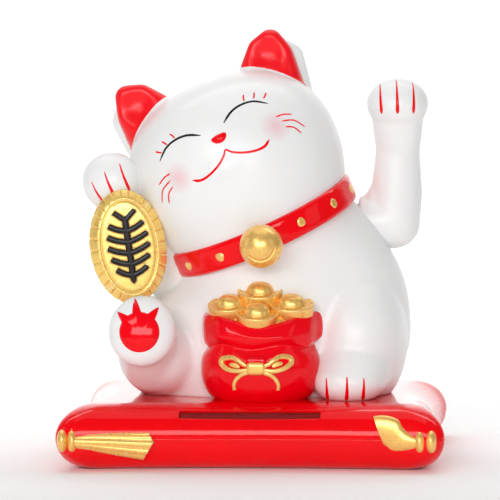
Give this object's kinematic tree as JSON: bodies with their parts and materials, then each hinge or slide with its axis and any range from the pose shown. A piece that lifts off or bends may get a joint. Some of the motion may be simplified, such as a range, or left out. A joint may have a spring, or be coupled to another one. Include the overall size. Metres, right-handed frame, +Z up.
{
  "type": "solar-powered beckoning cat figurine",
  "caption": "Seated smiling cat on a red cushion base, holding a gold coin plate and a money bag, with one raised arm that swings to and fro.",
  "frame": {"origin": "centre of the bounding box's underside, which is the middle of the cushion's flat underside", "axes": "+Z up, along the longest extent; the cat faces -Y, along the shortest extent; the waving arm is on +X"},
  "size_m": [0.112, 0.0906, 0.1246],
  "materials": {
    "red_lacquer": "gloss",
    "gold_paint": "satin",
    "white_gloss": "gloss",
    "steel": "satin",
    "plated_magnet": "polished",
    "black_enamel": "gloss",
    "cell_film": "gloss",
    "clear_cover": "gloss",
    "board_green": "satin",
    "chip_black": "matte",
    "can_sleeve": "satin",
    "copper": "gloss",
    "lead_sleeve": "matte",
    "plain_plastic": "matte"
  },
  "bodies": {
    "body": {"base_top_shell": "red_lacquer", "base_bottom_shell": "red_lacquer", "base_screws": "steel", "tassel_front_left": "gold_paint", "tassel_front_right": "gold_paint", "tassel_back_left": "gold_paint", "tassel_back_right": "gold_paint", "solar_cover": "clear_cover", "solar_cell": "cell_film", "cell_leads": "lead_sleeve", "circuit_board": "board_green", "board_screws": "steel", "storage_capacitor": "can_sleeve", "driver_chip": "chip_black", "coil_leads": "copper", "pivot_frame": "plain_plastic", "frame_screws": "steel", "coil_bobbin": "plain_plastic", "coil_winding": "copper", "body_shell_front": "white_gloss", "body_shell_back": "white_gloss", "head_shell_front": "white_gloss", "head_shell_back": "white_gloss", "coin_arm_front": "white_gloss", "coin_arm_back": "white_gloss", "koban_coin": "gold_paint", "koban_relief": "black_enamel", "collar": "red_lacquer", "collar_studs": "gold_paint", "collar_bell": "gold_paint", "money_bag": "red_lacquer", "gold_ingots": "gold_paint", "bag_bow": "gold_paint"},
    "arm": {"arm_shell_front": "white_gloss", "arm_shell_back": "white_gloss", "arm_hub": "plain_plastic", "pivot_pin": "steel", "swing_lever": "plain_plastic", "counterweight": "steel", "magnet": "plated_magnet", "pin_clip": "steel"}
  },
  "joints": [
    {"name": "arm_wave", "type": "hinge", "parent": "body", "child": "arm", "pos_m": [0, 0.01, 0.0675], "axis": [1, 0, 0], "range_deg": [-16, 16]}
  ]
}
